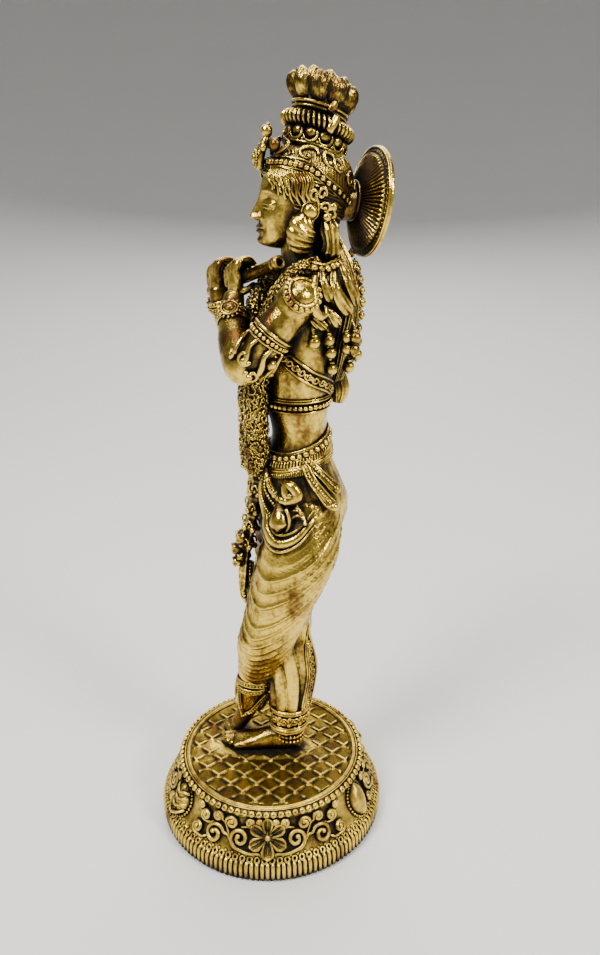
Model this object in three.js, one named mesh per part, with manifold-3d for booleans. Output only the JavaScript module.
// A cast brass Krishna playing the flute, standing cross-legged on a round lotus-frieze plinth.
// Millimetres, +Z up. The figure faces -Y and its own left is +X, with the origin under the plinth's centre.
import * as THREE from 'three';
import { mergeVertices } from 'three/addons/utils/BufferGeometryUtils.js';
import Module from 'manifold-3d';

const wasm = await Module();
wasm.setup();

// Driving sizes of the plinth
const plinthHeight = 17.9;
const baseRadius = 33;
const rimHeight = 5;
const rimSetback = 0.4;
const edgeRounding = 0.6;
const beadLedge = 1.6;
const friezeFootHeight = 6.4;
const friezeTopRadius = 26.4;
const friezeTopHeight = 15.6;
const friezeHollow = 0.7;
const topRadius = 27.5;
const topRimHeight = 1.5;
const discRadius = 24.2;
const discDepth = 0.45;
const friezeMotifs = 6;
const petalsPerFlower = 6;
const flowerRadius = 5.2;
const flowerRise = 1.2;
const scrollRadius = 2.7;
const scrollWire = 1.1;
const frontAzimuth = 12;
const plinthSides = 36;

// Driving sizes of the figure
const figureHeight = 182.5;
const seatGap = 0.3;
const fluteDiameter = 3;
const fluteLength = 33;
const fluteBore = 1.5;
const fluteCollar = 0.35;
const collarWidth = 1.3;
const boreDepth = 4;
const haloRadius = 12.8;
const haloThickness = 2.2;
const haloRibs = 16;

// The free form is laid out in shares of the figure's height, from the soles to the tip of the crown
const sharesInHeight = 182;
const share = figureHeight / sharesInHeight;
const degree = Math.PI / 180;
const brass = { color: 0xb58a3c, roughness: 0.38, metalness: 1 };

// Joining and cutting
function solid(geometry) {
  const bare = geometry.clone();
  bare.deleteAttribute('normal');
  bare.deleteAttribute('uv');
  const merged = mergeVertices(bare, 1e-4);
  const vertProperties = new Float32Array(merged.attributes.position.array);
  const triVerts = new Uint32Array(merged.index.array);
  return new wasm.Manifold(new wasm.Mesh({ numProp: 3, vertProperties, triVerts }));
}

function joined(solids) {
  return solids.reduce((whole, piece) => whole.add(piece));
}

function namedMesh(name, body) {
  const { numProp, vertProperties, triVerts } = body.getMesh();
  const geometry = new THREE.BufferGeometry();
  geometry.setAttribute('position', new THREE.BufferAttribute(vertProperties, numProp));
  geometry.setIndex(new THREE.BufferAttribute(triVerts, 1));
  geometry.computeVertexNormals();
  const mesh = new THREE.Mesh(geometry, new THREE.MeshStandardMaterial(brass));
  mesh.name = name;
  return mesh;
}

// Places in the figure's own shares
function at(x, y, z) {
  return new THREE.Vector3(x, y, z).multiplyScalar(share);
}

// Rows of a loft as places from 0 to 1: evenly spread ones, and the foot, crest and foot of each band
function loftRows(rows, bands, spans) {
  const even = Array.from({ length: rows }, (_, n) => n / (rows - 1));
  const places = bands.map(([place, swell, half]) => [place / spans, swell, half / spans]);
  const clear = (along) => places.every(([middle, , half]) => Math.abs(along - middle) > half * 1.2);
  const free = even.filter(clear);
  const raised = places.flatMap(([middle, swell, half]) => [
    [middle - half, 0],
    [middle, swell],
    [middle + half, 0],
  ]);
  return [...free.map((along) => [along, 0]), ...raised].sort((a, b) => a[0] - b[0]);
}

// A closed loft: a sphere's rows become rings along a curve, and its two poles close the ends.
// A station is [x, y, z, half width, half depth], and side is the way the width points.
// A band is [place, swell, half width], placed by counting stations.
// With level set, the rings lie flat, and otherwise they stand across the curve.
function loft(stations, options) {
  const { sides = 8, rows = 8, side = [1, 0, 0], level = false, cap = 0.45, relief, bands = [] } = options;
  const route = new THREE.CatmullRomCurve3(stations.map(([x, y, z]) => at(x, y, z)));
  const sizes = new THREE.CatmullRomCurve3(
    stations.map(([, , , width, depth = width]) => new THREE.Vector3(width, depth, 0)),
  );
  const rings = loftRows(rows, bands, stations.length - 1);
  const last = rings.length + 1;
  const geometry = new THREE.SphereGeometry(1, sides, last);
  const position = geometry.attributes.position;
  const up = new THREE.Vector3(0, 0, 1);
  for (let i = 0; i < position.count; i++) {
    const row = Math.floor(i / (sides + 1));
    const angle = ((i % (sides + 1)) / sides) * Math.PI * 2;
    const [along, raised] = rings[THREE.MathUtils.clamp(row - 1, 0, rings.length - 1)];
    const centre = route.getPoint(along);
    const tangent = route.getTangent(along);
    const size = sizes.getPoint(along);
    const normal = level ? up.clone().multiplyScalar(Math.sign(tangent.z)) : tangent;
    const across = new THREE.Vector3(...side);
    across.addScaledVector(normal, -across.dot(normal)).normalize();
    const deep = new THREE.Vector3().crossVectors(normal, across);
    if (row === 0 || row === last) {
      const out = (row === 0 ? -cap : cap) * Math.min(size.x, size.y) * share;
      centre.addScaledVector(normal, out);
    } else {
      const swell = raised + (relief ? relief(angle, along) : 0);
      centre.addScaledVector(across, Math.cos(angle) * (size.x + swell) * share);
      centre.addScaledVector(deep, Math.sin(angle) * (size.y + swell) * share);
    }
    position.setXYZ(i, centre.x, centre.y, centre.z);
  }
  const piece = solid(geometry);
  return piece.volume() < 0 ? solid(flipped(geometry)) : piece;
}

function flipped(geometry) {
  const turned = geometry.clone();
  const index = turned.index.array;
  for (let i = 0; i < index.length; i += 3) {
    [index[i], index[i + 1]] = [index[i + 1], index[i]];
  }
  return turned;
}

// An oval blob with half sizes in shares, turned in degrees about its own axes
function blob([x, y, z], [rx, ry, rz], { turn = [0, 0, 0], sides = 8, rows = 5 } = {}) {
  const geometry = new THREE.SphereGeometry(1, sides, rows);
  geometry.rotateX(Math.PI / 2);
  geometry.scale(rx * share, ry * share, rz * share);
  const place = new THREE.Matrix4().makeRotationFromEuler(new THREE.Euler(...turn.map((t) => t * degree)));
  place.setPosition(at(x, y, z));
  return solid(geometry.applyMatrix4(place));
}

// A ring of wire that follows an oval section, set across an axis
function band([x, y, z], [rx, ry], wire, axis) {
  const geometry = new THREE.TorusGeometry(1, wire / Math.min(rx, ry), 3, 14);
  geometry.scale(rx * share, ry * share, Math.min(rx, ry) * share);
  const facing = new THREE.Vector3(...axis).normalize();
  const turn = new THREE.Quaternion().setFromUnitVectors(new THREE.Vector3(0, 0, 1), facing);
  const place = new THREE.Matrix4().makeRotationFromQuaternion(turn);
  place.setPosition(at(x, y, z));
  return solid(geometry.applyMatrix4(place));
}

// Half sizes and centres of the trunk, from under the seat to the throat
const trunk = [
  [-1.6, 8.6, 57, 5, 5.6],
  [-2.4, 9.8, 68, 11.6, 10.4],
  [-3, 10.4, 78, 13.9, 12.1],
  [-2.6, 9.4, 85, 12.8, 10.6],
  [-2, 9.2, 91, 10.8, 8.3],
  [-1.2, 9.2, 97, 9.4, 6.9],
  [-0.3, 8.2, 106, 10.8, 7.8],
  [0.3, 8.6, 116, 12.4, 8.6],
  [0.8, 9, 126, 12.4, 8],
  [0.7, 9.4, 132.5, 8.6, 6.2],
  [0.2, 9.4, 137, 5.2, 4.9],
  [-0.8, 9.4, 146, 4.6, 4.8],
];

const belts = [
  [3.9, 1.1, 0.2],
  [4.35, 1, 0.2],
  [4.8, 0.8, 0.2],
  [6.1, 0.8, 0.13],
];

function torso() {
  const yoke = loft(
    [
      [12.8, 4.2, 131.4, 4.2],
      [8, 8.4, 132.6, 4.4],
      [0.6, 10, 133.6, 4.8],
      [-7, 10, 132.8, 4.4],
      [-14.2, 8.6, 130.8, 4.4],
    ],
    { sides: 7, rows: 6, side: [0, 0, 1] },
  );
  return [loft(trunk, { sides: 12, rows: 11, level: true, bands: belts }), yoke];
}

// The dhoti wraps both legs, with folds that sag across the front of each thigh and knee
function folds(count, depth, slant) {
  return (angle, along) => depth * Math.sin(along * count * Math.PI * 2 + Math.cos(angle) * slant);
}

const standingLeg = [
  [-6.6, 9.9, 80, 7.4, 8.4],
  [-7.4, 8.9, 66, 9.4, 10],
  [-4.5, 6.6, 48, 7.8, 8.2],
  [-2.2, 5.2, 38, 6.8, 7.2],
  [0, 6.7, 27, 6.4, 6.8],
  [1.6, 5.6, 17, 5.2, 5.5],
  [2, 4.9, 8.5, 4.5, 4.9],
];
const crossedLeg = [
  [4.6, 9.6, 80, 7.6, 8.6],
  [6.8, 6.3, 66, 9.7, 10.2],
  [5, 0.8, 48, 8, 8.4],
  [3, -1.5, 39, 7.2, 7.6],
  [-2.5, -1.7, 28, 6, 6.4],
  [-7, -3.1, 17, 4.7, 5],
  [-9.2, -4.2, 10, 4, 4.3],
];

const standingCuffs = [
  [4.95, 0.7, 0.16],
  [5.5, 0.7, 0.16],
  [5.85, 0.9, 0.13],
];
const crossedCuffs = [
  [5.3, 0.6, 0.16],
  [5.8, 0.8, 0.16],
];

function legs() {
  const wrapped = { sides: 10, level: true };
  return [
    loft(standingLeg, { ...wrapped, rows: 12, relief: folds(5, 0.4, 1.4), bands: standingCuffs }),
    loft(crossedLeg, { ...wrapped, rows: 13, relief: folds(6, 0.45, -1.6), bands: crossedCuffs }),
  ];
}

function feet() {
  const flat = loft(
    [
      [2.2, 8.4, 2.6, 2.7, 2.6],
      [1.6, 4.6, 3.8, 3.1, 3.9],
      [-1.2, -3.4, 3.1, 3.4, 2.9],
      [-4, -10.4, 1.9, 3.9, 1.8],
      [-5.2, -13.4, 1.2, 3.2, 1.1],
    ],
    { sides: 7, rows: 7, side: [1, -0.4, 0] },
  );
  const heel = loft([[1.9, 5, 8.5, 4], [2, 5.6, 3, 3]], { sides: 7, rows: 2 });
  const pointed = loft(
    [
      [-9.2, -4.2, 9, 3.2, 3.3],
      [-9.8, -5.6, 6.2, 2.9, 3],
      [-10.4, -7.4, 2.6, 3.1, 2],
      [-10.9, -9.8, 1.2, 2.7, 1],
    ],
    { sides: 7, rows: 5 },
  );
  return [flat, heel, pointed];
}

// Arms bend up at the elbow, and both hands hold the flute to the figure's right
const leftArm = [
  [12.8, 3.8, 131.2, 4.4, 4.5],
  [12, -1.6, 124.6, 4.2, 4.3],
  [8, -7.4, 116.2, 3.9, 4],
  [0.4, -7.6, 120.4, 4.1, 4.1],
  [-7.4, -6.2, 127.6, 3, 3.1],
  [-9.6, -5.2, 131.4, 2.6, 2.6],
];
const rightArm = [
  [-14.6, 8.4, 130.8, 4.4, 4.6],
  [-18.6, 3.6, 124, 4.2, 4.3],
  [-20.8, -1.8, 116.8, 3.9, 4],
  [-18.6, -4.4, 122.6, 3.6, 3.6],
  [-18, -6.8, 129.6, 2.8, 2.9],
  [-18.2, -7.4, 132.6, 2.6, 2.6],
];

const armBands = [
  [1.15, 0.8, 0.12],
  [1.5, 0.6, 0.12],
  [3.75, 0.7, 0.14],
];

function arms() {
  return [
    loft(leftArm, { sides: 7, rows: 8, bands: armBands }),
    loft(rightArm, { sides: 7, rows: 8, bands: armBands }),
    blob([13.6, 3.8, 132], [4.8, 5.2, 4.4], { turn: [30, 20, 0], sides: 7, rows: 4 }),
    blob([-15.2, 8, 131.6], [4.8, 5.2, 4.4], { turn: [25, -20, 0], sides: 7, rows: 4 }),
  ];
}

// The flute points from the mouth down to the figure's right
const fluteNearEnd = at(5, 2.6, 140);
const fluteWay = new THREE.Vector3(-0.913, -0.312, -0.262).normalize();

function alongFlute(geometry, from) {
  geometry.applyQuaternion(new THREE.Quaternion().setFromUnitVectors(new THREE.Vector3(0, 1, 0), fluteWay));
  const foot = fluteNearEnd.clone().addScaledVector(fluteWay, from);
  return solid(geometry.translate(foot.x, foot.y, foot.z));
}

function flute() {
  const radius = fluteDiameter / 2;
  const collar = radius + fluteCollar;
  const profile = [
    [0, 0],
    [collar, 0],
    [collar, collarWidth],
    [radius, collarWidth],
    [radius, fluteLength - collarWidth],
    [collar, fluteLength - collarWidth],
    [collar, fluteLength],
    [0, fluteLength],
  ].map(([x, y]) => new THREE.Vector2(x, y));
  return [alongFlute(new THREE.LatheGeometry(profile, 9), 0)];
}

function fluteBores() {
  const overrun = 0.5;
  const length = boreDepth + overrun;
  return [-overrun, fluteLength - boreDepth].map((from) => {
    const bore = new THREE.CylinderGeometry(fluteBore / 2, fluteBore / 2, length, 6);
    return alongFlute(bore.translate(0, length / 2, 0), from);
  });
}

// A hand is a palm with four fingers curled over the flute and a thumb below it
function hand([x, y, z], side, reach) {
  const palm = blob([x, y, z], [2.8, 1.8, 3.4], { turn: [reach, 0, 20 * side], sides: 6, rows: 4 });
  const fingers = [0, 1, 2, 3].map((n) => {
    const shift = (n - 1.5) * 1.5;
    const tip = z + 5.4 - 0.35 * Math.abs(n - 1);
    return loft(
      [
        [x + shift, y - 0.6, z + 1.2, 0.85],
        [x + shift * 1.05 - 0.3, y - 0.4, tip - 0.8, 0.85],
        [x + shift * 1.1 - 0.5, y + 2.4, tip, 0.65],
      ],
      { sides: 4, rows: 3 },
    );
  });
  const thumb = loft([[x + 2 * side, y + 0.2, z - 0.2, 1], [x + 2.8 * side, y + 1.6, z + 1.8, 0.75]], {
    sides: 4,
    rows: 2,
  });
  return [palm, ...fingers, thumb];
}

function hands() {
  return [...hand([-10.2, -5, 133.2], 1, -10), ...hand([-18.4, -7.8, 134], -1, -6)];
}

// The head leans to the figure's right and looks a little down along the flute
const headCentre = [-1.5, 9.8, 154.4];
const headTurn = [1, 9, -4];

function headWay(x, y, z) {
  const turn = new THREE.Euler(...headTurn.map((t) => t * degree));
  return new THREE.Vector3(x, y, z).applyEuler(turn).toArray();
}

function onHead(x, y, z) {
  return headWay(x, y, z).map((along, n) => along + headCentre[n]);
}

function feature(place, size, turn = [0, 0, 0], detail = {}) {
  const added = headTurn.map((t, n) => t + turn[n]);
  return blob(onHead(...place), size, { turn: added, ...detail });
}

// The face from under the chin to the hairline: [forward, height, half width, half depth]
const faceRings = [
  [-5.6, -11.2, 2.4, 2.6],
  [-4.6, -9.6, 4, 5],
  [-3.4, -7, 5.5, 6.5],
  [-2, -4, 6.7, 8],
  [-0.8, -1, 7.4, 8.8],
  [0, 2.5, 7.9, 9.6],
  [0.6, 6, 7.6, 9],
];

function face() {
  const small = { sides: 5, rows: 3 };
  const rings = faceRings.map(([y, z, rx, ry]) => [...onHead(0, y, z), rx, ry]);
  const head = loft(rings, { sides: 10, rows: 7, level: true });
  const nose = [[...onHead(0, -9.2, 0.2), 0.9], [...onHead(0, -10.6, -4.2), 1.4, 1.3]];
  return [
    head,
    loft(nose, { sides: 4, rows: 2 }),
    feature([0, -9.3, -6.7], [1.9, 1.2, 0.6], [0, 0, 0], small),
    feature([0, -9, -7.9], [1.5, 1.2, 0.65], [0, 0, 0], small),
    feature([0, -8.3, -9.9], [1.9, 1.7, 1.5], [0, 0, 0], small),
    ...[1, -1].flatMap((s) => [
      feature([3.2 * s, -8.2, -1.2], [1.8, 1.2, 0.9], [0, 0, 14 * s], small),
      feature([8.2 * s, 0.6, -2.2], [1.5, 2.6, 3], [0, 0, 0], { sides: 5, rows: 3 }),
    ]),
  ];
}

function earrings() {
  return [1, -1].map((s) => {
    const top = onHead(8.4 * s, -1, -3.6);
    const middle = onHead(8.6 * s, -2.8, -7);
    const low = onHead(8.2 * s, -3, -11);
    return loft([[...top, 1.6], [...middle, 2.9], [...low, 1]], { sides: 6, rows: 5 });
  });
}

// Hair and headdress: a ribbed cap, a beaded headband, a brow jewel and a lotus topknot
function headdress() {
  const ribbed = (angle, along) => 0.25 * Math.cos(angle * 6) * Math.sin(along * Math.PI);
  const cap = loft(
    [
      [...onHead(0, 3.4, 11.8), 4],
      [...onHead(0, 3.2, 9.8), 7.4, 8.4],
      [...onHead(0, 3, 6), 9, 10.4],
      [...onHead(0, 4.2, 1.6), 9.2, 10],
      [...onHead(0, 5.6, -3.4), 8.4, 8],
      [...onHead(0, 6.6, -8.6), 6.8, 5.6],
    ],
    { sides: 12, rows: 6, level: true, relief: ribbed },
  );
  const headband = band(onHead(0, 2.2, 4), [9.3, 10.6], 1, headWay(0, 0.36, 1));
  const jewel = loft(
    [
      [...onHead(0, -7.6, 5.6), 2.3, 1.2],
      [...onHead(0, -7.6, 9.6), 1.7, 0.9],
      [...onHead(0, -6.8, 15), 0.4, 0.4],
    ],
    { sides: 4, rows: 3 },
  );
  const locks = [1, -1].map((s) => {
    const stations = [
      [...onHead(7.2 * s, -4.8, 3), 0.9],
      [...onHead(8.3 * s, -2.4, -0.6), 1.1],
      [...onHead(7.6 * s, -3, -4.6), 0.7],
    ];
    return loft(stations, { sides: 4, rows: 4 });
  });
  return [cap, headband, jewel, ...locks];
}

// The topknot stands on the crown of the head and leans back
const knotFoot = [-2.4, 12.9, 162.6];
const knotTip = [-2.9, 16.4, 182];
const crownPetals = 8;

function onKnot(along, angle = 0, radius = 0) {
  const [x, y, z] = knotFoot.map((low, n) => THREE.MathUtils.lerp(low, knotTip[n], along));
  return [x + Math.cos(angle) * radius, y + Math.sin(angle) * radius, z];
}

function knotLoft(radii, options) {
  return loft(radii.map(([along, radius]) => [...onKnot(along), radius]), options);
}

function topknot() {
  const ribbed = (angle, along) => (along > 0.3 && along < 0.9 ? 0.35 * Math.cos(angle * 6) : 0);
  const petals = (depth) => (angle, along) => depth * Math.cos(angle * crownPetals) * (0.5 + along);
  const foot = knotLoft(
    [[0, 6.4], [0.13, 5.9], [0.2, 7.2], [0.28, 8.3], [0.38, 7.8], [0.46, 5.6], [0.56, 6.2]],
    { sides: 12, rows: 7, relief: ribbed },
  );
  const crown = knotLoft(
    [[0.48, 5.4], [0.56, 6.8], [0.68, 7.4], [0.82, 6.9], [0.92, 5.6]],
    { sides: crownPetals * 2, rows: 6, cap: -0.3, relief: petals(0.7) },
  );
  const heart = knotLoft(
    [[0.6, 4.2], [0.86, 4.4], [0.98, 2.8]],
    { sides: crownPetals * 2, rows: 4, cap: 0.1, relief: petals(0.5) },
  );
  return [foot, crown, heart];
}

// The disc behind the head is a shallow ribbed cone that points forward, with a thick rim
const haloCentre = [-0.6, 26.9, 153.3];
const haloLean = 6;

function halo() {
  const rings = [
    [0.34, -1.9],
    [0.62, -1.1],
    [0.9, -0.2],
    [1, 0.1],
    [1, 0.5],
    [0.8, 0.8],
  ];
  const rows = rings.length + 1;
  const sides = haloRibs * 2;
  const geometry = new THREE.SphereGeometry(1, sides, rows);
  const position = geometry.attributes.position;
  for (let i = 0; i < position.count; i++) {
    const row = Math.floor(i / (sides + 1));
    const column = i % sides;
    const angle = ((i % (sides + 1)) / sides) * Math.PI * 2;
    const [part, depth] = rings[THREE.MathUtils.clamp(row - 1, 0, rings.length - 1)];
    const radius = row === 0 || row === rows ? 0 : part * haloRadius;
    const ribbed = row > 0 && row < 3 ? (column % 2) * 0.14 : 0;
    position.setXYZ(i, Math.cos(angle) * radius, (depth + ribbed) * haloThickness, Math.sin(angle) * radius);
  }
  geometry.rotateX(-haloLean * degree);
  const middle = at(...haloCentre);
  geometry.translate(middle.x, middle.y, middle.z);
  const disc = solid(geometry);
  const hub = loft([[-1.4, 17.5, 153.8, 5], [-0.8, 25, 153.4, 4.2]], { sides: 7, rows: 2 });
  return [disc.volume() < 0 ? solid(flipped(geometry)) : disc, hub];
}

// Hair falls from the nape over the shoulder blades in ridged locks that end in a tassel
const hairLocks = 8;

function backHair() {
  const locks = (angle, along) => 0.7 * Math.cos(angle * hairLocks) + 0.3 * Math.cos(along * Math.PI * 8);
  const fall = loft(
    [
      [-1.2, 14.4, 147, 6.4, 4.8],
      [-0.6, 17, 139, 8.8, 5],
      [0.4, 17.6, 130, 11, 5.2],
      [0.8, 16.2, 119, 10, 4.8],
      [1.4, 15.6, 112, 6, 3.6],
    ],
    { sides: hairLocks * 2, rows: 8, level: true, relief: locks },
  );
  const tassel = [[2.4, 17.4, 113.6, 1.8], [3, 18.4, 109.4, 2.6], [3.2, 18.2, 106.6, 1.6]];
  return [fall, loft(tassel, { sides: 6, rows: 4 })];
}

// A thick rope of florets hangs from the neck over the chest and ends in two strands before the thighs
function garland() {
  const florets = (count) => (angle, along) => 0.35 * Math.cos(along * Math.PI * 2 * count);
  const strand = (s) => loft(
    [
      [0.2 + 5.4 * s, 11, 140, 1.6],
      [0.4 + 7.6 * s, 4.4, 136.4, 2.3],
      [0.2 + 7.2 * s, -1, 127, 2.6],
      [-0.6 + 4.8 * s, -3, 116, 2.8],
      [-1.6 + 3 * s, -3, 105, 3],
      [-2 + 2.8 * s, -2.8, 95, 3.1],
      [-2.2 + 2.6 * s, -3.2, 87.5, 2.5],
    ],
    { sides: 5, rows: 17, relief: florets(8) },
  );
  return [strand(1), strand(-1)];
}

// Swags, sash ends and a front fall hang from the belts
function girdle() {
  const swag = (s, drop, out) => loft(
    [
      [-2.4 + s * (11 + out), 12, 84, 0.8],
      [-2.4 + s * (12 + out), 4.6, 84 - drop * 0.45, 1],
      [-2.4 + s * (7.8 + out), -1.2, 84 - drop * 0.85, 1.1],
      [-2.4, -2.6 - out, 84 - drop, 1.1],
    ],
    { sides: 4, rows: 5 },
  );
  const sash = (s) => loft(
    [
      [-2 + 9.6 * s, 8, 91, 1.6, 1],
      [-2.6 + 12.6 * s, 12.4, 87, 2.2, 0.9],
      [-2.6 + 12.6 * s, 16, 81.5, 2.8, 1],
    ],
    { sides: 5, rows: 4, side: [0, 1, 0] },
  );
  const front = loft(
    [
      [-2.4, -1.2, 90, 2.4, 1.4],
      [-2.6, -3.8, 76, 2.7, 1.5],
      [-3, -6.2, 64, 2.3, 1.5],
      [-3.4, -8, 51, 1.3, 1.2],
    ],
    { sides: 5, rows: 9, relief: (angle, along) => 0.3 * Math.cos(along * Math.PI * 8) },
  );
  return [swag(1, 12, 0.6), swag(-1, 12, 0.6), sash(1), sash(-1), front];
}

function figure() {
  const pieces = [
    torso,
    legs,
    feet,
    arms,
    hands,
    flute,
    face,
    earrings,
    headdress,
    topknot,
    halo,
    backHair,
    garland,
    girdle,
  ].flatMap((make) => make());
  return fluteBores().reduce((whole, bore) => whole.subtract(bore), joined(pieces));
}

// The plinth: a turned body with a sunk top disc and a frieze of flowers and scrolls
function friezePoint(part) {
  const footRadius = baseRadius - rimSetback - beadLedge;
  const radius = THREE.MathUtils.lerp(footRadius, friezeTopRadius, part);
  const height = THREE.MathUtils.lerp(friezeFootHeight, friezeTopHeight, part);
  return new THREE.Vector2(radius - friezeHollow * Math.sin(part * Math.PI), height);
}

function turnedBody() {
  const rimTop = baseRadius - rimSetback;
  const profile = [
    new THREE.Vector2(0, 0),
    new THREE.Vector2(baseRadius - edgeRounding, 0),
    new THREE.Vector2(baseRadius, edgeRounding),
    new THREE.Vector2(rimTop, rimHeight),
    new THREE.Vector2(rimTop - beadLedge / 2, (rimHeight + friezeFootHeight) / 2 + edgeRounding / 3),
    ...[0, 0.5, 1].map(friezePoint),
    new THREE.Vector2(topRadius, plinthHeight - topRimHeight),
    new THREE.Vector2(topRadius, plinthHeight - edgeRounding),
    new THREE.Vector2(topRadius - edgeRounding, plinthHeight),
    new THREE.Vector2(discRadius, plinthHeight),
    new THREE.Vector2(discRadius, plinthHeight - discDepth),
    new THREE.Vector2(0, plinthHeight - discDepth),
  ];
  const geometry = new THREE.LatheGeometry(profile, plinthSides);
  geometry.rotateX(Math.PI / 2);
  return solid(geometry);
}

// A motif lies in the plane that touches the frieze at the middle of its height
function onFrieze(geometry, azimuth, part) {
  const here = friezePoint(part);
  const slope = Math.atan2(friezePoint(0).x - friezePoint(1).x, friezePoint(1).y - friezePoint(0).y);
  geometry.rotateX(Math.PI / 2 - slope);
  geometry.translate(0, -here.x, here.y);
  geometry.rotateZ(azimuth * degree);
  return geometry;
}

function flower(azimuth) {
  const sides = petalsPerFlower * 2;
  const geometry = new THREE.SphereGeometry(1, sides, 3);
  const position = geometry.attributes.position;
  for (let i = 0; i < position.count; i++) {
    const row = Math.floor(i / (sides + 1));
    const column = i % (sides + 1);
    const angle = (column / sides) * Math.PI * 2;
    const reach = [0, 0.55, 1, 0][row] * (column % 2 ? 0.62 : 1) * flowerRadius;
    const rise = [0.6, 1.2, 0.1, -0.8][row] * flowerRise;
    position.setXYZ(i, Math.cos(angle) * reach, Math.sin(angle) * reach, rise);
  }
  return solid(onFrieze(geometry, azimuth, 0.5));
}

function scrolls(azimuth) {
  const step = 360 / friezeMotifs;
  return [-1, 1].map((s) => {
    const ring = new THREE.TorusGeometry(scrollRadius, scrollWire, 3, 8);
    return solid(onFrieze(ring, azimuth + s * step * 0.27, 0.42));
  });
}

function plinth() {
  const motifs = Array.from({ length: friezeMotifs }, (_, n) => {
    const azimuth = frontAzimuth + (n * 360) / friezeMotifs;
    return [flower(azimuth), ...scrolls(azimuth)];
  }).flat();
  return joined([turnedBody(), ...motifs]);
}

// The soles stand a seat gap above the sunk disc
const model = new THREE.Group();
const figureMesh = namedMesh('figure', figure());
figureMesh.geometry.computeBoundingBox();
figureMesh.position.z = plinthHeight - discDepth + seatGap - figureMesh.geometry.boundingBox.min.z;
model.add(figureMesh, namedMesh('plinth', plinth()));
export default model;
